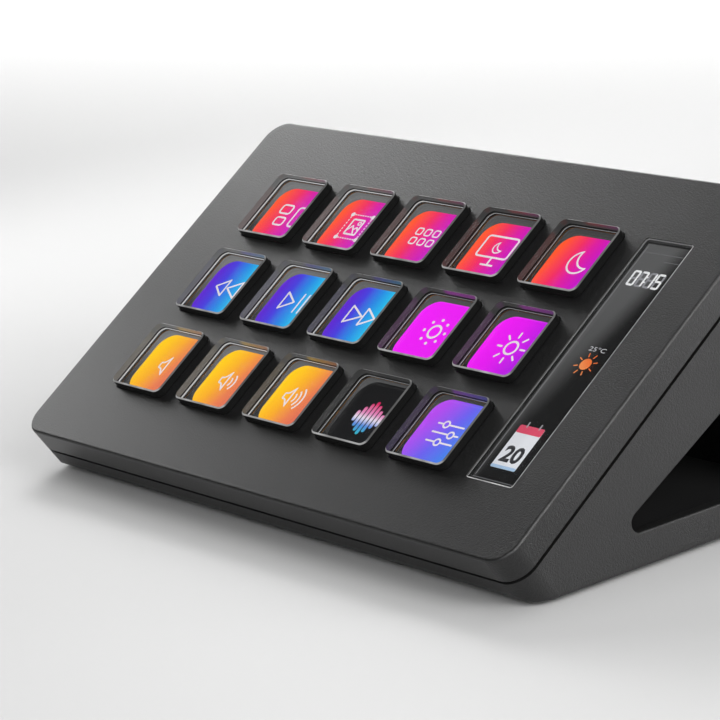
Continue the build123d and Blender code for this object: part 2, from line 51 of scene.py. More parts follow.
# %% [markdown]
# ## Where things are
# Lit tiles lie on the display, and the display leans back with the face. So artwork is
# drawn flat, in millimetres round its own middle, and one matrix carries it to its
# place. The display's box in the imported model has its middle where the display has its
# own, which gives that matrix without a single measured place.

# %% Planes of the display and of the strip
MM = 0.001
LEAN = radians(35)
PANEL_THICKNESS = 1.4
STRIP_DEPTH = 1.4
KEY_HALF, STRIP_HALF = 2.25, 0.45  # half the height of a key and of the strip's window


def middle_of(node):
    """Middle of a node's box, which is its own middle for a block or a plate."""
    low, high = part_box(node)
    return (low + high) / 2


def leaning_plane(node, rise):
    """A drawing plane in millimetres that leans with the face, rise above a node's middle."""
    leaning = Matrix.Translation(middle_of(node)) @ Matrix.Rotation(LEAN, 4, "X")
    return leaning @ Matrix.Scale(MM, 4) @ Matrix.Translation((0, 0, rise))


display_top = leaning_plane("display_panel", PANEL_THICKNESS / 2)
strip_floor = leaning_plane("strip_window", STRIP_HALF - STRIP_DEPTH)
key_spots = {}
for row in (1, 2, 3):
    for column in (1, 2, 3, 4, 5):
        spot = display_top.inverted() @ middle_of(f"key_cap_r{row}_c{column}")
        key_spots[row, column] = (spot.x, spot.y)
print("middle key on the display, mm:", [round(v, 2) for v in key_spots[2, 3]])

# %% [markdown]
# ## Shader arithmetic
# Most finishes here come from a few sums on noise and on position. Written as Python
# expressions they read like the sums they are. One small class holds an output socket
# and adds a Math node for each operator. Its method `node` adds any other node.

# %% The wire class


class Wire:
    """An output socket of a material. Arithmetic on it adds Math nodes."""

    def __init__(self, socket):
        self.socket = socket

    def node(self, kind, settings=None, sockets=None, output=0):
        """Add a node, set it up, feed its sockets with numbers or wires, and return one output."""
        made = self.socket.id_data.nodes.new(kind)
        for key, value in (settings or {}).items():
            if key == "stops":
                ramp = made.color_ramp.elements
                while len(ramp) < len(value):
                    ramp.new(0.5)
                for element, (place, colour) in zip(ramp, value):
                    element.position, element.color = place, colour
            else:
                setattr(made, key, value)
        for key, value in (sockets or {}).items():
            feed(made.inputs[key], value)
        return Wire(made.outputs[output])

    def math(self, operation, *values):
        return self.node("ShaderNodeMath", {"operation": operation}, dict(enumerate(values)))

    def __add__(self, other):
        return self.math("ADD", self, other)

    def __sub__(self, other):
        return self.math("SUBTRACT", self, other)

    def __rsub__(self, other):
        return self.math("SUBTRACT", other, self)

    def __mul__(self, other):
        return self.math("MULTIPLY", self, other)

    __radd__ = __add__
    __rmul__ = __mul__

    def step(self, low, high):
        """0 below low, 1 above high and smooth between them."""
        return self.node(
            "ShaderNodeMapRange",
            {"interpolation_type": "SMOOTHSTEP"},
            {"Value": self, "From Min": low, "From Max": high},
        )

    def blend(self, first, second):
        """The first colour where this wire is 0, and the second where it is 1."""
        return self.node("ShaderNodeMix", {"data_type": "RGBA"}, {0: self, 6: first, 7: second}, 2)

    def dot(self, direction):
        """Dot product of this vector with a fixed direction."""
        settings = {"operation": "DOT_PRODUCT"}
        return self.node("ShaderNodeVectorMath", settings, {0: self, 1: direction}, "Value")

    def noise(self, scale, detail=2.0, roughness=0.5):
        """Grey noise, scale cells to the metre."""
        sockets = {"Vector": self, "Scale": scale, "Detail": detail, "Roughness": roughness}
        return self.node("ShaderNodeTexNoise", None, sockets)

    def clip(self):
        """This wire kept between 0 and 1."""
        return self.node("ShaderNodeClamp", None, {"Value": self})

    def bump(self, distance, strength=1.0):
        """Normal that shows this wire as a height, where 1 stands distance metres high."""
        sockets = {"Height": self, "Distance": distance, "Strength": strength}
        return self.node("ShaderNodeBump", None, sockets, "Normal")


def feed(socket, value):
    """Link a wire to a socket, or set the socket to a plain value."""
    if isinstance(value, Wire):
        value.socket.id_data.links.new(value.socket, socket)
    else:
        socket.default_value = value


def grey(level, tint=(1.0, 1.0, 1.0)):
    """A near-neutral colour with its alpha."""
    return tuple(level * t for t in tint) + (1.0,)


# %% [markdown]
# A finish starts from a Principled shader. What is the same all over goes straight to
# its sockets. What changes over the surface comes back from a small function that gets
# the object's own coordinates, in metres, as a wire.

# %% Starting a finish


def new_finish(name, settings, pattern):
    """A material: plain settings on its shader, then the wires that pattern returns."""
    material = bpy.data.materials.new(name)
    material.use_nodes = True
    tree = material.node_tree
    shader = tree.nodes["Principled BSDF"]
    for socket, value in settings.items():
        shader.inputs[socket].default_value = value
    place = Wire(tree.nodes.new("ShaderNodeTexCoord").outputs["Object"])
    for socket, wire in pattern(place).items():
        feed(shader.inputs[socket], wire)
    return material


def dress(material, *names):
    """Give CAD nodes this finish."""
    for name in names:
        slots = nodes[name].data.materials
        slots.clear()
        slots.append(material)
    print(material.name, "on", len(names), "node(s)")


# %% [markdown]
# ## The charcoal housing
# The cover and the wedge are moulded in a tool whose walls were eroded by sparks, so
# their skin is a fine, even grain about a third of a millimetre across. It scatters
# light widely and still keeps a satin sheen at a low angle. Two sizes of noise make the
# grain, and a very slow one makes the faint unevenness that any moulding has. The cover
# comes from a smoother tool than the wedge, so it is a little glossier.

# %% Charcoal plastic


def eroded_skin(base, grain_scale, height, rough_low, rough_high, speckle=0.3):
    """Spark-eroded moulding: base is (level, tint), speckle how far the tone wanders."""

    def pattern(place):
        grain = place.noise(grain_scale, 2.0, 0.6)
        fine = place.noise(grain_scale * 2.3, 1.0)
        drift = place.noise(38.0, 2.0)
        level, tint = base
        tone = (grain * 0.8 + drift * 0.2).step(0.35, 0.65)
        dark, light = grey(level * (1 - speckle), tint), grey(level * (1 + speckle), tint)
        return {
            "Base Color": tone.blend(dark, light),
            "Roughness": rough_low + (rough_high - rough_low) * (grain * 0.6 + drift * 0.4),
            "Normal": (grain * 0.7 + fine * 0.3).bump(height),
        }

    return pattern


GRAIN = 3100.0  # cells to the metre
GRAIN_HEIGHT = 0.00009  # in metres
PLASTIC = {"IOR": 1.5}
cover_skin = eroded_skin((0.0055, (1.0, 1.0, 1.01)), GRAIN, GRAIN_HEIGHT, 0.26, 0.4, 0.5)
dress(new_finish("cover_plastic", PLASTIC, cover_skin), "front_cover")
stand_skin = eroded_skin((0.006, (1.0, 1.0, 1.01)), GRAIN, GRAIN_HEIGHT, 0.38, 0.54, 0.5)
dress(new_finish("stand_plastic", PLASTIC, stand_skin), "stand_shell")

underside_skin = eroded_skin((0.008, (1.0, 1.0, 1.03)), GRAIN * 0.7, 0.00005, 0.55, 0.75)
dress(new_finish("underside_plastic", PLASTIC, underside_skin), "base_plate")
inner_skin = eroded_skin((0.006, (1.0, 1.0, 1.0)), GRAIN * 0.5, 0.00003, 0.5, 0.7)
inner_plastic = new_finish("inner_plastic", PLASTIC, inner_skin)
dress(inner_plastic, "display_carrier", "ribbon_sockets", "board_chips")

# %% [markdown]
# ## Rubber and soft parts
# Feet are moulded rubber, dull and slightly dusty. The mat under the keys is silicone.
# Both are nearly black and very rough, with a broad soft noise in place of a grain.

# %% Rubber


def rubber_skin(level):
    """Near-black rubber with a soft bloom on it."""

    def pattern(place):
        bloom = place.noise(420.0, 3.0)
        return {
            "Base Color": bloom.blend(grey(level * 0.75), grey(level * 1.4)),
            "Roughness": 0.72 + 0.2 * bloom,
            "Normal": place.noise(1500.0, 2.0).bump(0.00004),
        }

    return pattern


foot_rubber = new_finish("foot_rubber", {}, rubber_skin(0.018))
dress(foot_rubber, "rubber_feet")
key_silicone = new_finish("key_silicone", {}, rubber_skin(0.012))
dress(key_silicone, "key_mat")

# %% [markdown]
# ## Metal, board and films
# The inlet is stamped from bright steel, and its faint lines follow the fold. Screws
# are dark plated. These parts sit deep in the housing, so each gets one honest pattern
# and no more.

# %% Metals


def brushed_metal(level, tint, stretch, scale):
    """Pattern of rolled or plated metal: stretch pulls the noise out along one axis."""

    def pattern(place):
        pulled = place.node("ShaderNodeVectorMath", {"operation": "MULTIPLY"}, {0: place, 1: stretch})
        lines = pulled.noise(scale, 3.0, 0.6)
        return {
            "Base Color": lines.blend(grey(level * 0.85, tint), grey(level * 1.1, tint)),
            "Roughness": 0.22 + 0.25 * lines,
            "Normal": lines.bump(0.00001),
        }

    return pattern


socket_steel = new_finish(
    "socket_steel", {"Metallic": 1.0}, brushed_metal(0.62, (1.0, 1.0, 1.01), (0.08, 1.0, 1.0), 3000.0)
)
dress(socket_steel, "usb_socket")
screw_plating = new_finish(
    "screw_plating", {"Metallic": 1.0}, brushed_metal(0.2, (1.0, 1.0, 1.04), (1.0, 1.0, 1.0), 2500.0)
)
dress(screw_plating, "carrier_screws", "cover_screws", "board_screws", "base_screws")
backlight_metal = new_finish(
    "backlight_metal", {"Metallic": 1.0}, brushed_metal(0.6, (1.0, 1.0, 1.0), (0.05, 1.0, 1.0), 900.0)
)
dress(backlight_metal, "backlight_unit")

# %% Board and films


def solder_mask(place):
    """Green lacquer over the weave of the board."""
    weave = place.node("ShaderNodeTexWave", {"bands_direction": "X"}, {"Vector": place, "Scale": 130.0})
    weave = weave.blend((0.003, 0.03, 0.014, 1.0), (0.004, 0.045, 0.02, 1.0))
    return {"Base Color": weave, "Roughness": 0.25 + 0.15 * place.noise(300.0)}


def amber_film(place):
    """Clear amber film, as ribbons are made of."""
    tone = place.noise(260.0, 2.0)
    return {
        "Base Color": tone.blend((0.2, 0.075, 0.008, 1.0), (0.34, 0.14, 0.02, 1.0)),
        "Roughness": 0.2 + 0.2 * tone,
    }


dress(new_finish("solder_mask", {}, solder_mask), "main_board")
dress(new_finish("amber_film", {}, amber_film), "display_ribbon", "contact_film")

# %% [markdown]
# ## The display
# With nothing lit, a liquid crystal display isn't quite black: its backlight leaks
# through a little, which a faint even glow gives. On top of it the emission carries a
# painted reflection of the light that the clear key above throws back, so the frame round
# each tile is black at the key's front and a soft grey at its back. The pattern repeats
# under each row, so the place along the leaning face is divided by the row pitch and
# only its fraction is used. The painted reflection also grows weaker from the left
# column to the right one.

# %% Display glass
FACE_NORMAL = (0.0, -sin(LEAN), cos(LEAN))
FACE_UP = (0.0, cos(LEAN), sin(LEAN))
row_pitch = (key_spots[1, 1][1] - key_spots[2, 1][1]) * MM
column_pitch = (key_spots[1, 2][0] - key_spots[1, 1][0]) * MM
middle_key = middle_of("key_cap_r2_c3")
# The grey of the painted reflection grows over this share of a row and weakens towards the right.
PAINTED_REFLECTION_REACH = 0.42  # share of a row, to either side of its middle, over which the grey grows
PAINTED_REFLECTION_RIGHT = 0.22  # share of it that is left at the right
print("row pitch, mm:", round(row_pitch / MM, 2), "column pitch, mm:", round(column_pitch / MM, 2))


def display_skin(place):
    """Dark glass with a faint backlight and a painted reflection in its emission, row by row."""
    haze = place.noise(90.0, 2.0)
    rows_up = (place.dot(FACE_UP) - middle_key.dot(Vector(FACE_UP))) * (1 / row_pitch) + 1.5
    in_row = rows_up.math("FRACT", rows_up) - 0.5
    columns_right = (place.dot((1.0, 0.0, 0.0)) - middle_key.x) * (1 / column_pitch) + 2.5
    left = 1.0 - columns_right.step(0.0, 5.0)
    # Painted reflection: grey emission at the back of each row, weaker towards the right.
    painted_reflection = in_row.step(-PAINTED_REFLECTION_REACH, PAINTED_REFLECTION_REACH) * (PAINTED_REFLECTION_RIGHT + (1.0 - PAINTED_REFLECTION_RIGHT) * left)
    return {
        "Base Color": haze.blend(grey(0.004), grey(0.009)),
        "Roughness": 0.12 + 0.1 * haze,
        "Emission Color": painted_reflection.blend(grey(0.01), grey(0.19)),
    }


SCREEN_GLASS = {"IOR": 1.5, "Emission Strength": 1.0}
dress(new_finish("display_glass", SCREEN_GLASS, display_skin), "display_panel")

# %% [markdown]
# ## Clear keys and the clear strip
# Each key is a thick block of clear acrylic. Light passes its polished top and bottom,
# so the tile shines through, while its four side walls look black from outside: they
# stand in the dark guide of the cover. One shader can't do both, so the key chooses by
# the direction in which each facet points: clear where it lies along the face, black
# gloss where it stands upright, and dark on the small bevel between them, where a painted
# highlight glows along the crest, mottled and strongest at the front. The lowest edge of
# the walls carries a painted highlight, a fine bright line of emission, wider on the keys
# at the left.
#
# Seen from inside, through the clear top, a wall carries a painted reflection: a grey glow
# that stands for the display's light, weaker on the keys at the right. The material asks
# for the side of the facet that is seen (Backfacing), so this is the one finish here that
# isn't the same for every way of looking, and a baked copy of the model can keep only one of its two sides.

# %% Clear acrylic


def mix_shaders(factor, first, second):
    """The first shader where factor is 0, and the second where it is 1."""
    tree = factor.socket.id_data
    both = tree.nodes.new("ShaderNodeMixShader")
    feed(both.inputs[0], factor)
    tree.links.new(first.outputs[0], both.inputs[1])
    tree.links.new(second.outputs[0], both.inputs[2])
    return both


def another_shader(tree, settings, roughness):
    """One more acrylic shader in a material, with emission for painted light, plain settings and a rough pattern.
    """
    shader = tree.nodes.new("ShaderNodeBsdfPrincipled")
    for socket, value in (ACRYLIC | settings | {"Emission Strength": 1.0}).items():
        shader.inputs[socket].default_value = value
    feed(shader.inputs["Roughness"], roughness)
    return shader


ACRYLIC = {"IOR": 1.49, "Specular IOR Level": 0.12}
POLISHED = {"Transmission Weight": 1.0, "Base Color": (0.96, 0.97, 0.98, 1.0)}
# The painted highlight on the bevel lies within BEVEL_LINE of the top, and the sharpness values set how fast the
# painted lines end.
BEVEL_LINE = 0.00007  # metres below the top in which the bevel glints
EDGE_SHARPNESS, CREST_SHARPNESS = 9000.0, 20000.0  # how fast those lines end, per metre
FLAT_FACING = (0.84, 0.88)  # facets that point along the face normal more than this are clear
WALL_FACING = (0.38, 0.42)  # and those that do less than this are walls


def clear_block(name, bottom, top, painted_inner_reflection, painted_foot_highlight, edge_height, painted_bevel_highlight, side_share):
    """Acrylic: clear along the face, with painted highlights on its bevel and along its lowest edge.

    bottom is the level of its underside along the face normal, and top its height over
    that. painted_inner_reflection is the painted reflection on the walls seen from inside, painted_foot_highlight
    the painted highlight on their foot, and edge_height the foot's height at the right and at the
    left. painted_bevel_highlight is the painted highlight on the bevel, of which the sides keep side_share.
    """
    material = new_finish(
        name,
        ACRYLIC | POLISHED,
        lambda place: {"Roughness": 0.004 + 0.012 * place.noise(160.0, 2.0)},
    )
    tree = material.node_tree
    clear = tree.nodes["Principled BSDF"]
    place = Wire(tree.nodes.new("ShaderNodeTexCoord").outputs["Object"])
    geometry = tree.nodes.new("ShaderNodeNewGeometry")
    normal = Wire(geometry.outputs["True Normal"])
    inside = Wire(geometry.outputs["Backfacing"])
    facing = normal.dot(FACE_NORMAL)
    facing = facing.math("ABSOLUTE", facing)

    wall_rough = 0.1 + 0.12 * place.noise(900.0, 2.0)
    wall = another_shader(tree, {"Base Color": grey(0.003)}, wall_rough)
    rise = place.dot(FACE_NORMAL) - bottom
    low, high = edge_height
    columns = (place.dot((1.0, 0.0, 0.0)) - middle_key.x) * (1 / column_pitch)
    height = low + (high - low) * (1.0 - columns.step(-2.0, 1.0))
    edge = ((height - rise) * EDGE_SHARPNESS + 0.5).clip()
    # Painted reflection: seen from inside, the walls glow grey, less towards the right. Their foot carries a
    # painted highlight, a bright line of emission.
    band = (inside * (1.0 - 0.75 * columns.step(-2.2, 1.0))).blend(grey(0.004), grey(painted_inner_reflection))
    feed(wall.inputs["Emission Color"], edge.blend(band, grey(painted_foot_highlight)))

    bevel_rough = 0.2 + 0.2 * place.noise(700.0, 2.0)
    bevel = another_shader(tree, {"Base Color": grey(0.006), "Specular IOR Level": 0.2}, bevel_rough)
    # Painted highlight along the crest of the bevel, mottled by noise and strongest where it faces the front.
    crest = ((rise - (top - BEVEL_LINE)) * CREST_SHARPNESS + 0.5).clip()
    frontward = 1.0 - normal.dot(FACE_UP).step(-0.5, -0.1)
    glint = crest * place.noise(260.0, 2.0) * (side_share + (1.0 - side_share) * frontward)
    feed(bevel.inputs["Emission Color"], glint.blend(grey(0.006), grey(painted_bevel_highlight)))

    top_or_bevel = mix_shaders(1.0 - facing.step(*FLAT_FACING), clear, bevel)
    all_round = mix_shaders(1.0 - facing.step(*WALL_FACING), top_or_bevel, wall)
    tree.links.new(all_round.outputs[0], tree.nodes["Material Output"].inputs["Surface"])
    return material


def level_on_face(node, drop):
    """Level along the face normal, in metres, drop millimetres below a node's middle."""
    return middle_of(node).dot(Vector(FACE_NORMAL)) - drop * MM


key_names = [f"key_cap_r{row}_c{column}" for row, column in key_spots]
key_clear = clear_block(
    "key_clear",
    bottom=level_on_face("key_cap_r2_c3", KEY_HALF),
    top=2 * KEY_HALF * MM,
    painted_inner_reflection=0.125,
    painted_foot_highlight=0.55,
    edge_height=(0.0003, 0.0011),
    painted_bevel_highlight=0.6,
    side_share=0.35,
)
dress(key_clear, *key_names)
strip_clear = clear_block(
    "strip_clear",
    bottom=level_on_face("strip_window", STRIP_HALF),
    top=2 * STRIP_HALF * MM,
    painted_inner_reflection=0.35,
    painted_foot_highlight=0.35,
    edge_height=(0.0002, 0.0002),
    painted_bevel_highlight=1.3,
    side_share=0.6,
)
dress(strip_clear, "strip_window")

# %% [markdown]
# ## Drawing flat shapes
# Tiles and symbols are thin closed plates, a few hundredths of a millimetre thick. A
# bmesh grid of one face gives a rectangle, and bevelling its corners rounds it. Insetting
# a face and taking out what is left inside turns any filled shape into its outline. Each
# shape is drawn round its own middle and then laid on a sheet at its place.

# %% Flat shapes
CORNER = {"affect": "VERTICES", "profile": 0.5, "material": -1}


def box_shape(width, height, corner=0.0, steps=5):
    """A rectangle, with its corners rounded if corner is more than nothing."""
    shape = bmesh.new()
    bmesh.ops.create_grid(shape, x_segments=1, y_segments=1, size=0.5)
    bmesh.ops.scale(shape, vec=(width, height, 1), verts=shape.verts)
    if corner > 0:
        bmesh.ops.bevel(shape, geom=shape.verts[:], offset=corner, segments=steps, **CORNER)
    return shape


def disc_shape(radius, sides=40):
    """A filled circle."""
    shape = bmesh.new()
    bmesh.ops.create_circle(shape, cap_ends=True, radius=radius, segments=sides)
    return shape


def point_shape(points, corner=0.0, steps=4):
    """A filled shape from a few corner points."""
    shape = bmesh.new()
    shape.faces.new([shape.verts.new((x, y, 0)) for x, y in points])
    if corner > 0:
        bmesh.ops.bevel(shape, geom=shape.verts[:], offset=corner, segments=steps, **CORNER)
    return shape


def outline(shape, line):
    """Turn a filled shape into its outline, line wide."""
    bmesh.ops.inset_individual(shape, faces=shape.faces[:], thickness=line, use_even_offset=True)
    inner = max(shape.faces, key=lambda f: len(f.verts))
    bmesh.ops.delete(shape, geom=[inner], context="FACES")
    return shape


def arc_shape(radius, line, start, end, steps=16):
    """Part of a ring between two angles in degrees, spun from one short edge."""
    shape = bmesh.new()
    a = shape.verts.new((radius - line / 2, 0, 0))
    b = shape.verts.new((radius + line / 2, 0, 0))
    edge = shape.edges.new((a, b))
    bmesh.ops.rotate(shape, verts=shape.verts, matrix=Matrix.Rotation(radians(start), 3, "Z"))
    bmesh.ops.spin(shape, geom=[a, b, edge], axis=(0, 0, 1), angle=radians(end - start), steps=steps)
    return shape


def bar_shape(start, end, line):
    """A stroke with round ends from one point to another."""
    run = Vector(end) - Vector(start)
    shape = box_shape(run.length + line, line, line * 0.49, 4)
    turn = Matrix.Rotation(Vector((1, 0)).angle_signed(run) * -1, 4, "Z")
    middle = (Vector(start) + Vector(end)) / 2
    bmesh.ops.transform(shape, matrix=Matrix.Translation((*middle, 0)) @ turn, verts=shape.verts)
    return shape


class Sheet:
    """A sheet on which flat shapes are laid, to become one thin piece."""

    def __init__(self):
        self.flat = bmesh.new()
        self.flat.loops.layers.uv.new("spread")

    def lay(self, shape, x=0.0, y=0.0, spread=None):
        """Lay a shape at a place. spread is the side of the square that its UV map fills."""
        side = spread or 1.0
        uv = shape.loops.layers.uv.verify()
        for facet in shape.faces:
            for loop in facet.loops:
                loop[uv].uv = (loop.vert.co.x / side + 0.5, loop.vert.co.y / side + 0.5)
        bmesh.ops.translate(shape, vec=(x, y, 0), verts=shape.verts)
        carrier = bpy.data.meshes.new("carrier")
        shape.to_mesh(carrier)
        shape.free()
        carrier.uv_layers[0].name = "spread"
        self.flat.from_mesh(carrier)
        bpy.data.meshes.remove(carrier)
        return self

    def finish(self, name, plane, level, thickness, material):
        """Make the sheet a piece of that thickness, with its underside level above the plane."""
        bmesh.ops.remove_doubles(self.flat, verts=self.flat.verts, dist=0.0001)
        for facet in self.flat.faces:
            if facet.normal.z < 0:
                facet.normal_flip()
        bmesh.ops.triangulate(self.flat, faces=self.flat.faces[:])
        rim = [e for e in self.flat.edges if e.is_boundary]
        made = bmesh.ops.extrude_face_region(self.flat, geom=self.flat.faces[:], use_keep_orig=True)
        lifted = [v for v in made["geom"] if isinstance(v, bmesh.types.BMVert)]
        bmesh.ops.translate(self.flat, vec=(0, 0, thickness), verts=lifted)
        bmesh.ops.translate(self.flat, vec=(0, 0, level), verts=self.flat.verts)
        bmesh.ops.recalc_face_normals(self.flat, faces=self.flat.faces[:])
        bmesh.ops.transform(self.flat, matrix=plane, verts=self.flat.verts)
        mesh = bpy.data.meshes.new(name)
        self.flat.to_mesh(mesh)
        self.flat.free()
        mesh.materials.append(material)
        piece = bpy.data.objects.new(name, mesh)
        bpy.context.scene.collection.objects.link(piece)
        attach(piece, "pad")
        print(name, "faces:", len(mesh.polygons), "rim:", len(rim))
        return piece


# %% [markdown]
# ## Lit colours
# A display pixel gives its own light, so a tile is an emitter on black. Each tile's UV
# map runs once across it, and a ramp along a slanted line through that map gives the
# blend that the tile shows. A fine noise as small as the pixels keeps even the plain
# white of a symbol from being perfectly flat.

# %% Lit finishes


def lit(name, stops, slant=(1.0, 0.0), strength=1.0):
    """Glow that runs through the stops. slant is how much the ramp runs across and up."""
    across, up = slant

    def pattern(place):
        spread = place.node("ShaderNodeUVMap", {"uv_map": "spread"})
        right = spread.node("ShaderNodeSeparateXYZ", None, {0: spread}, "X")
        rise = spread.node("ShaderNodeSeparateXYZ", None, {0: spread}, "Y")
        pixels = place.noise(7000.0, 0.0)
        along = (right - 0.5) * across + (rise - 0.5) * up + 0.48 + pixels * 0.04
        ramp = along.node("ShaderNodeValToRGB", {"stops": stops}, {"Fac": along})
        return {"Emission Color": (pixels * 0.12).blend(ramp, grey(0.0))}

    black = {"Base Color": grey(0.0), "Roughness": 0.5, "Specular IOR Level": 0.1}
    return new_finish(name, black | {"Emission Strength": strength}, pattern)


def rgb(red, green, blue):
    """Linear colour from the 0 to 255 values of a screen."""
    shares = (red / 255, green / 255, blue / 255)
    return tuple(v / 12.92 if v < 11 / 255 else ((v + 0.055) / 1.055) ** 2.4 for v in shares) + (1.0,)


def plain_glow(name, *colour):
    """Glow of one colour, a little dimmer at its left."""
    full = rgb(*colour)
    return lit("glow_" + name, [(0.0, tuple(0.94 * v for v in full[:3]) + (1.0,)), (1.0, full)])


TILE_GLOW = 1.3
TILE_RAMPS = {
    "sunset": (
        (0.95, -0.15),
        [(0.04, rgb(255, 84, 38)), (0.31, rgb(240, 42, 92)), (0.52, rgb(218, 18, 156)), (0.82, rgb(186, 12, 198))],
    ),
    "ocean": (
        (1.0, 0.0),
        [(0.0, rgb(92, 14, 200)), (0.26, rgb(66, 56, 216)), (0.5, rgb(26, 132, 222)), (0.78, rgb(26, 190, 230))],
    ),
    "orchid": ((0.9, -0.2), [(0.0, rgb(240, 16, 244)), (0.8, rgb(228, 18, 236)), (1.0, rgb(204, 20, 226))]),
    "violet": ((0.9, -0.2), [(0.0, rgb(240, 14, 240)), (0.4, rgb(222, 16, 232)), (0.9, rgb(156, 20, 214))]),
    "amber": (
        (0.92, -0.25),
        [(0.08, rgb(255, 200, 6)), (0.36, rgb(247, 168, 34)), (0.62, rgb(230, 122, 74)), (0.9, rgb(214, 92, 84))],
    ),
    "iris": ((0.8, -0.3), [(0.1, rgb(178, 70, 232)), (0.5, rgb(104, 94, 232)), (0.9, rgb(48, 134, 226))]),
}
glows = {name: lit("glow_" + name, stops, slant, TILE_GLOW) for name, (slant, stops) in TILE_RAMPS.items()}
glows["night"] = lit("glow_night", [(0.0, rgb(14, 14, 17)), (1.0, rgb(5, 5, 7))], (-0.4, 0.7))
print("tile glows:", ", ".join(glows))

# %% [markdown]
# ## Tiles under the keys
# Every key has one square tile of light, 14 mm across with generous corners, and the
# black of the display frames it. The grid of the picture is a touch finer than the grid
# of the keys, so the tiles drift a little under the keys from the front right corner,
# where they agree, to the back left one. Tiles of one colour make one piece.

# %% Tiles
TILE = 14.0
TILE_CORNER = 3.6
LAYER = 0.02
DRIFT = (0.7, -0.9)
tile_spots = {}
for (row, column), (x, y) in key_spots.items():
    tile_spots[row, column] = (x + DRIFT[0] * (5 - column) / 4, y + DRIFT[1] * (3 - row) / 2)
tile_colours = {
    "sunset": [(1, 1), (1, 2), (1, 3), (1, 4), (1, 5)],
    "ocean": [(2, 1), (2, 2), (2, 3)],
    "orchid": [(2, 4)],
    "violet": [(2, 5)],
    "amber": [(3, 1), (3, 2), (3, 3)],
    "night": [(3, 4)],
    "iris": [(3, 5)],
}
for colour, places in tile_colours.items():
    tiles = Sheet()
    for place in places:
        tiles.lay(box_shape(TILE, TILE, TILE_CORNER, 8), *tile_spots[place], spread=TILE)
    tiles.finish(f"tiles_{colour}", display_top, LAYER, LAYER, glows[colour])

# %% [markdown]
# ## Symbols
# The symbols are thin white lines about four tenths of a millimetre wide, drawn as a
# screen designer would: windows, a picture in its crop frame, a grid, a monitor, a moon,
# the three transport signs, two suns and three loudspeakers. The black tile has a level
# meter in light colours, and the last one a set of sliders.

# %% Window and grid symbols
LINE = 0.4
white_light = plain_glow("white", 255, 246, 250)
symbols = Sheet()


def draw(place, shape, x=0.0, y=0.0):
    """Lay a symbol's shape on the tile of one key."""
    spot_x, spot_y = key_spots[place]
    symbols.lay(shape, spot_x + x, spot_y + y)


draw((1, 1), outline(box_shape(3.5, 2.5, 0.8), LINE), -1.4, 0.85)
draw((1, 1), outline(box_shape(3.1, 2.3, 0.75), LINE), -1.0, -2.15)
draw((1, 1), outline(box_shape(3.0, 5.2, 0.8), LINE), 3.3, -0.6)

PICTURE = Vector((0.25, -0.5))
FRAME_HALF = 2.9
DASHES, DASH_PITCH = 7, 0.7
for across in (-FRAME_HALF, FRAME_HALF):
    for up in (-2.85, 2.85):
        draw((1, 2), disc_shape(0.5, 16), *(PICTURE + Vector((across, up))))
for dash in range(DASHES):
    run = (dash - DASHES // 2) * DASH_PITCH
    for side in (-FRAME_HALF, FRAME_HALF):
        draw((1, 2), box_shape(0.4, 0.26), *(PICTURE + Vector((run, side))))
        draw((1, 2), box_shape(0.26, 0.4), *(PICTURE + Vector((side, run))))
draw((1, 2), outline(box_shape(3.5, 4.0, 0.4), LINE), *PICTURE)
draw((1, 2), outline(disc_shape(0.5, 20), 0.26), *(PICTURE + Vector((0.7, 0.95))))
hills = [
    ((-1.4, -0.9), (-0.5, 0.3)),
    ((-0.5, 0.3), (0.7, -1.5)),
    ((0.2, -0.6), (0.8, 0.0)),
    ((0.8, 0.0), (1.4, -0.7)),
]
for start, end in hills:
    draw((1, 2), bar_shape(PICTURE + Vector(start), PICTURE + Vector(end), 0.3))

for across in (-2.35, 0.0, 2.35):
    for up in (-1.15, 1.15):
        draw((1, 3), outline(box_shape(1.8, 1.8, 0.55), 0.3), across, up)

# %% Monitor and moons
MOON_STEPS = 40


def moon_shape(radius):
    """A crescent: the circle's vertices past a slanted chord are folded back over it."""
    shape = disc_shape(radius, MOON_STEPS)
    towards = Vector((cos(radians(40)), sin(radians(40)), 0))
    for vert in shape.verts:
        past = vert.co.dot(towards) - radius * 0.5
        if past > 0:
            vert.co -= towards * past * 2.15
    return shape


draw((1, 4), outline(box_shape(8.4, 5.2, 0.8), LINE), -0.6, 0.6)
draw((1, 4), bar_shape((0, -2.0), (0, -3.3), LINE), -0.1, 0)
draw((1, 4), bar_shape((-1.5, -3.6), (1.4, -3.6), LINE), -0.1, 0)
draw((1, 4), outline(moon_shape(1.35), 0.26), -0.3, 0.5)
draw((1, 5), outline(moon_shape(2.65), 0.36), 0.6, 0.4)

# %% Transport signs


def arrow_shape(base, tip, height):
    """A triangle from its upright base to its tip, with softened corners."""
    return point_shape([(tip, 0), (base, height / 2), (base, -height / 2)], 0.4)


ARROW_HEIGHT = 4.6
arrows = {(2, 1): [(-0.5, -3.9), (3.4, -0.5)], (2, 2): [(-3.1, 0.6)], (2, 3): [(-4.1, 0.3), (0.1, 3.9)]}
for place, runs in arrows.items():
    for base, tip in runs:
        draw(place, outline(arrow_shape(base, tip, ARROW_HEIGHT), 0.38))
for x in (1.7, 3.1):
    draw((2, 2), bar_shape((x, -2.2), (x, 2.2), 0.34))

# %% Suns
for place, mark in (((2, 4), "dot"), ((2, 5), "ray")):
    draw(place, outline(disc_shape(1.6, 40), 0.42))
    for turn in range(8):
        way = Vector((cos(turn * pi / 4), sin(turn * pi / 4)))
        if mark == "dot":
            draw(place, disc_shape(0.32, 14), *(way * 2.7))
        else:
            draw(place, bar_shape(way * 2.35, way * 3.35, 0.38))

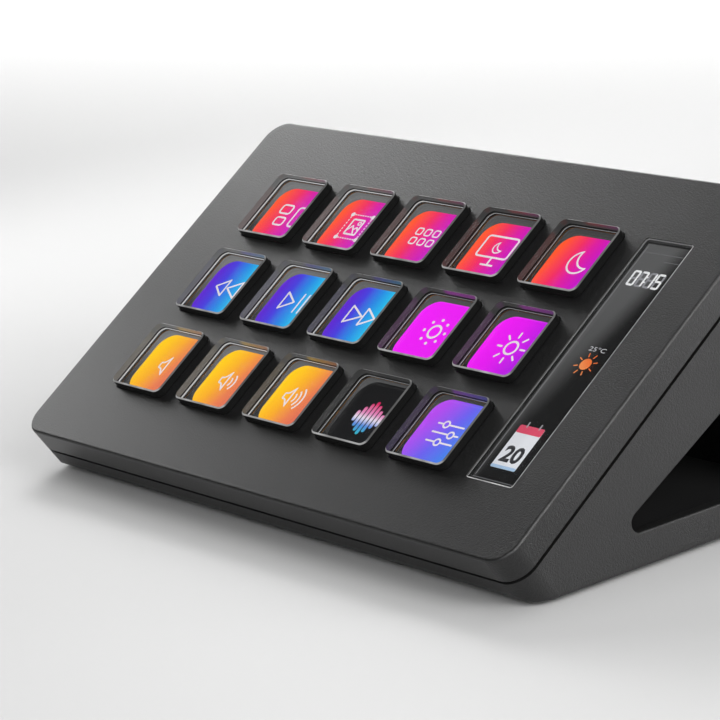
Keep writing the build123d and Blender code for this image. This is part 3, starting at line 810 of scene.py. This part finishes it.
# %% Loudspeakers
SPEAKER = [(-1.4, 0.75), (-0.45, 0.85), (0.8, 2.45), (0.8, -2.45), (-0.45, -0.85), (-1.4, -0.75)]
for place, shift, waves in (((3, 1), -0.1, 0), ((3, 2), -1.3, 2), ((3, 3), -2.4, 3)):
    draw(place, outline(point_shape(SPEAKER, 0.3), 0.34), shift, -0.2)
    for wave in range(waves):
        draw(place, arc_shape(1.3 + 1.0 * wave, 0.34, -44, 44), shift + 0.6, -0.2)

# %% Sliders
for level, knob in ((1.9, -1.2), (0.0, 1.4), (-1.9, -0.4)):
    draw((3, 5), bar_shape((-3.2, 0), (knob - 0.95, 0), 0.34), 0, level)
    draw((3, 5), bar_shape((knob + 0.95, 0), (3.2, 0), 0.34), 0, level)
    draw((3, 5), outline(disc_shape(0.85, 24), 0.34), knob, level)
symbols.finish("key_symbols", display_top, 2 * LAYER, LAYER, white_light)

# %% Level meter on the black tile
meter = Sheet()
heights = (2.4, 4.4, 6.2, 7.4, 6.0, 4.0, 2.6)
for index, height in enumerate(heights):
    bar = box_shape(0.78, height, 0.38, 4)
    meter.lay(bar, tile_spots[3, 4][0] + (index - 3) * 1.05, tile_spots[3, 4][1] - 0.6, spread=7.4)
METER = [
    (0.05, rgb(36, 196, 214)), (0.3, rgb(96, 150, 235)), (0.48, rgb(250, 240, 255)),
    (0.62, rgb(244, 150, 205)), (0.9, rgb(226, 24, 96)),
]
meter.finish("level_meter", display_top, 2 * LAYER, LAYER, lit("glow_meter", METER, (0.15, 0.9)))

# %% [markdown]
# ## The strip's screen and its readings
# Under the clear strip lies a long narrow screen of black glass. Its emission carries
# painted light: a soft grey at the back left and in a band along the left edge, fading
# towards the front right. Painted highlights, fine lines of emission, follow its edges.
# It shows a clock in seven-bar figures with its dark bars faintly visible, a temperature with a small sun, and a
# calendar leaf with a number.

# %% Strip screen
SCREEN_WIDTH, SCREEN_LENGTH = 10.2, 52.6
SCREEN_THICKNESS = 0.28
strip_middle = middle_of("strip_window")
STRIP_SLANT = 0.19  # how far the glow leans to the right for each step up
# The painted glow fades across and along the screen between these places, in millimetres.
PAINTED_GLOW_ACROSS = (-3.4, 2.6)  # millimetres from the middle: from all of the glow to none
PAINTED_GLOW_ALONG = (-26.0, 24.0)  # front end and back end
PAINTED_LEFT_BAND = (-5.0, -3.6)


def strip_skin(place):
    """Black glass with painted light in its emission, running slantwise from the back left to the front right."""
    right = (place.dot((1.0, 0.0, 0.0)) - strip_middle.x) * (1 / MM)
    up = (place.dot(FACE_UP) - strip_middle.dot(Vector(FACE_UP))) * (1 / MM)
    haze = place.noise(120.0, 2.0)
    slant = right - up * STRIP_SLANT + haze
    glow = 1.0 - slant.step(*PAINTED_GLOW_ACROSS)
    far = up.step(*PAINTED_GLOW_ALONG)
    rim = 1.0 - right.step(*PAINTED_LEFT_BAND)
    # Painted light: the slanted glow and the band along the left edge, stronger towards the back.
    level = glow * (0.35 + 0.65 * far) + rim * (0.25 + 0.5 * far)
    return {
        "Base Color": haze.blend(grey(0.004), grey(0.008)),
        "Roughness": 0.1 + 0.1 * haze,
        "Emission Color": level.blend(grey(0.004), grey(0.105)),
    }


screen = Sheet().lay(box_shape(SCREEN_WIDTH, SCREEN_LENGTH, 0.3))
screen_glass = new_finish("strip_screen_glass", SCREEN_GLASS, strip_skin)
screen.finish("strip_screen", strip_floor, LAYER, SCREEN_THICKNESS, screen_glass)
strip_top = strip_floor @ Matrix.Translation((0, 0, LAYER + SCREEN_THICKNESS))

# %% Painted highlights: fine lines of emission on the screen's edge
edge_lines = Sheet()
edge_lines.lay(bar_shape((-5.0, 24.4), (4.9, 24.4), 0.12))
edge_lines.lay(bar_shape((1.3, 22.9), (4.9, 22.9), 0.1))
edge_lines.lay(bar_shape((4.95, -26.0), (4.95, 26.0), 0.14))
edge_lines.lay(bar_shape((-5.0, -26.1), (4.9, -26.1), 0.14))
edge_lines.finish("strip_painted_edge_highlights", strip_top, LAYER, LAYER, plain_glow("edge_lines", 112, 112, 114))
# More painted highlights, along the screen's long sides.
side_lines = Sheet().lay(bar_shape((-4.7, -25.6), (-4.7, 25.6), 0.13))
side_lines.lay(bar_shape((4.95, -25.8), (4.95, 25.8), 0.16))
side_lines.finish("strip_painted_side_highlights", strip_top, LAYER, LAYER, plain_glow("side_lines", 132, 132, 134))

# %% Clock figures
BAR_LINE = 0.42
w, h = 0.66, 1.5  # half the width and half the height of a figure
BARS = {
    "a": ((-w * 0.75, h), (w * 0.75, h)),
    "g": ((-w * 0.75, 0), (w * 0.75, 0)),
    "d": ((-w * 0.75, -h), (w * 0.75, -h)),
    "f": ((-w, 0.2), (-w, h - 0.15)),
    "b": ((w, 0.2), (w, h - 0.15)),
    "e": ((-w, 0.15 - h), (-w, -0.2)),
    "c": ((w, 0.15 - h), (w, -0.2)),
}
FIGURES = {"0": "abcdef", "7": "abc", "1": "bc", "5": "afgcd"}
CLOCK_Y = 18.65
clock_lit, clock_dark = Sheet(), Sheet()
for figure, x in zip("0715", (-2.65, -0.75, 1.25, 3.15)):
    for bar, (start, end) in BARS.items():
        sheet = clock_lit if bar in FIGURES[figure] else clock_dark
        sheet.lay(bar_shape(start, end, BAR_LINE), x, CLOCK_Y)
for dot in (-0.55, 0.55):
    clock_lit.lay(box_shape(0.3, 0.3, 0.08), 0.25, CLOCK_Y + dot)
clock_white = plain_glow("clock", 250, 250, 250)
clock_lit.finish("clock_lit", strip_top, 2 * LAYER, LAYER, clock_white)
clock_dark.finish("clock_dark", strip_top, LAYER, LAYER, plain_glow("clock_dark", 150, 150, 154))

# %% Numbers


def number_mesh(text, height, weight=0.0, width=None):
    """Flat figures, height tall and centred. weight makes their strokes bolder."""
    curve = bpy.data.curves.new("number", "FONT")
    curve.body, curve.size, curve.resolution_u = text, 1.0, 3
    curve.offset = weight
    carrier = bpy.data.objects.new("number", curve)
    bpy.context.scene.collection.objects.link(carrier)
    bpy.context.view_layer.update()
    mesh = bpy.data.meshes.new_from_object(carrier)
    bpy.data.objects.remove(carrier)
    shape = bmesh.new()
    shape.from_mesh(mesh)
    bpy.data.meshes.remove(mesh)
    low = Vector([min(v.co[i] for v in shape.verts) for i in (0, 1)])
    high = Vector([max(v.co[i] for v in shape.verts) for i in (0, 1)])
    scale = height / (high.y - low.y)
    across = width / (high.x - low.x) if width else scale
    bmesh.ops.translate(shape, vec=(-(low.x + high.x) / 2, -(low.y + high.y) / 2, 0), verts=shape.verts)
    bmesh.ops.scale(shape, vec=(across, scale, 1), verts=shape.verts)
    return shape


TEMPERATURE_PLACE = (1.2, 3.0)
readings = Sheet().lay(number_mesh("25°C", 0.95, -0.004, 3.9), *TEMPERATURE_PLACE)
readings.finish("temperature", strip_top, LAYER, LAYER, plain_glow("reading", 205, 205, 208))

# %% Small sun
SUN_PLACE = (0.92, -0.3)
small_sun = Sheet().lay(disc_shape(1.2, 32), *SUN_PLACE)
for turn in range(8):
    way = Vector((cos(turn * pi / 4 + 0.3), sin(turn * pi / 4 + 0.3)))
    small_sun.lay(bar_shape(way * 1.65, way * 2.35, 0.2), *SUN_PLACE)
sun_light = lit("glow_sun", [(0.0, rgb(255, 150, 84)), (1.0, rgb(250, 124, 60))], (0.5, 0.5))
small_sun.finish("small_sun", strip_top, LAYER, LAYER, sun_light)

# %% Calendar leaf
LEAF_PLACE = Vector((0.0, -19.0))
leaf_parts = {
    "leaf_body": (5.9, 9.1, 0.35, 0.0, (240, 241, 246)),
    "leaf_band": (5.9, 0.6, 0.25, -4.25, (176, 206, 236)),
    "leaf_head": (5.9, 1.65, 0.35, 3.72, (232, 84, 112)),
}
for layer, (name, (width, height, corner, up, colour)) in enumerate(leaf_parts.items()):
    part = Sheet().lay(box_shape(width, height, corner), *(LEAF_PLACE + Vector((0, up))))
    part.finish(name, strip_top, LAYER * (1 + (layer > 0)), LAYER, plain_glow(name, *colour))
number = Sheet().lay(number_mesh("20", 3.5, 0.035), *(LEAF_PLACE + Vector((0.05, -1.5))))
number.finish("leaf_number", strip_top, 2 * LAYER, LAYER, plain_glow("number", 54, 54, 58))
pins = Sheet()
for pin in (-1.35, 1.64):
    pins.lay(bar_shape((pin, 4.3), (pin, 5.2), 0.3), *LEAF_PLACE)
pins.finish("leaf_pins", strip_top, 3 * LAYER, LAYER, plain_glow("pins", 168, 168, 172))

# %% [markdown]
# ## Floor, light and camera
# The pad stands on a sweep of pale paper with painted shade: its colour is grey near the
# pad and towards the front right, and pale towards the far left. Soft lamps light it: large
# ones behind, above, in front and at the right, and small ones low at the left, which graze
# the leaning face so that its sheen fades from left to right. One lamp is turned to the
# paper behind. A grid narrows the spread of a lamp. The sky is dim, with one patch at the left that is a little
# lighter, for the polished keys to reflect.

# %% Floor
floor_mesh = bmesh.new()
bmesh.ops.create_grid(floor_mesh, x_segments=1, y_segments=1, size=6.0)
mesh = bpy.data.meshes.new("floor")
floor_mesh.to_mesh(mesh)
floor_mesh.free()
floor = bpy.data.objects.new("floor", mesh)
bpy.context.scene.collection.objects.link(floor)
# Painted shade: the paper's colour runs from this grey near the pad to its pale far colour.
FLOOR_PAINTED_SHADE, FLOOR_FAR = grey(0.53), grey(0.95)


def paper(place):
    """Paper with painted shade: grey near the pad and towards the front right, pale towards the far left, with a
    faint unevenness.
    """
    away = place.dot((-0.6, 0.8, 0.0)).step(0.0, 1.1)
    return {"Base Color": (away * 0.97 + place.noise(3.0, 2.0) * 0.03).blend(FLOOR_PAINTED_SHADE, FLOOR_FAR)}


mesh.materials.append(new_finish("floor_paper_painted_shade", {"Roughness": 0.6, "Specular IOR Level": 0.2}, paper))

# %% Sky
world = bpy.data.worlds.new("studio")
bpy.context.scene.world = world
world.use_nodes = True
sky = world.node_tree.nodes["Background"]
looking = Wire(world.node_tree.nodes.new("ShaderNodeTexCoord").outputs["Generated"])


def towards(azimuth, elevation):
    """Unit vector in that direction, with both angles in degrees."""
    turn, rise = radians(azimuth), radians(elevation)
    return (cos(turn) * cos(rise), sin(turn) * cos(rise), sin(rise))


patch = looking.dot(towards(178, 35)).step(cos(radians(10)), cos(radians(3)))
SKY_LEVEL, PATCH_LEVEL = grey(0.05), grey(0.1)
feed(sky.inputs["Color"], patch.blend(SKY_LEVEL, PATCH_LEVEL))

# %% Lamps


def soft_lamp(name, place, target, size, power, spread=180):
    """A square soft lamp at place that shines at target. A grid narrows its spread, in degrees."""
    lamp = bpy.data.lights.new(name, "AREA")
    lamp.shape, lamp.size, lamp.energy, lamp.spread = "SQUARE", size, power, radians(spread)
    holder = bpy.data.objects.new(name, lamp)
    bpy.context.scene.collection.objects.link(holder)
    way = Vector(target) - Vector(place)
    holder.matrix_world = Matrix.Translation(place) @ way.to_track_quat("-Z", "Y").to_matrix().to_4x4()
    print(name, power, "W")


MIDDLE = (0, 0, 0.04)
# where it stands, where it shines, its size in metres, its power in watts, its spread
LAMPS = {
    "lamp_top": ((0.0, 0.0, 1.3), MIDDLE, 1.0, 3.5),
    "lamp_back": ((0.0, 0.8, 1.1), MIDDLE, 0.7, 3.0),
    "lamp_back_left": ((-0.9, 0.9, 0.9), MIDDLE, 0.8, 10.5),
    "lamp_floor": ((-0.9, 1.3, 1.4), (-0.9, 1.0, 0.0), 0.6, 8.5, 70),
    "lamp_back_right": ((0.9, 0.7, 0.35), MIDDLE, 0.6, 3.6),
    "lamp_right": ((0.9, -0.1, 0.5), MIDDLE, 0.6, 9.0),
    "lamp_right_low": ((0.7, 0.56, 0.08), (0.068, 0.02, 0.05), 0.15, 0.055, 36),
    "lamp_front": ((0.5, -0.9, 0.6), MIDDLE, 0.6, 6.0),
    "lamp_low_left": ((-0.3, -0.02, 0.11), MIDDLE, 0.12, 0.16),
    "lamp_left_back": ((-0.24, 0.16, 0.18), MIDDLE, 0.1, 0.15),
    "lamp_left_grid": ((-0.24, 0.08, 0.15), (-0.05, 0.03, 0.06), 0.08, 0.008, 42),
    "lamp_left_grid_low": ((-0.27, 0.02, 0.12), (-0.05, 0.01, 0.05), 0.1, 0.002, 42),
}
for name, settings in LAMPS.items():
    soft_lamp(name, *settings)

# %% Camera
camera_data = bpy.data.cameras.new("camera")
camera_data.lens, camera_data.sensor_width = 159.06, 36.0
camera_data.clip_start, camera_data.clip_end = 0.02, 20.0
camera = bpy.data.objects.new("camera", camera_data)
bpy.context.scene.collection.objects.link(camera)
right = Vector((0.63111, 0.77087, -0.08643))
down = Vector((0.14225, -0.22455, -0.96402))
ahead = Vector((-0.76254, 0.59611, -0.25137))
turn = Matrix((right, -down, -ahead)).transposed().to_4x4()
camera.matrix_world = Matrix.Translation((0.43043, -0.34587, 0.16801)) @ turn
bpy.context.scene.camera = camera
bpy.context.scene.view_settings.view_transform = "Standard"
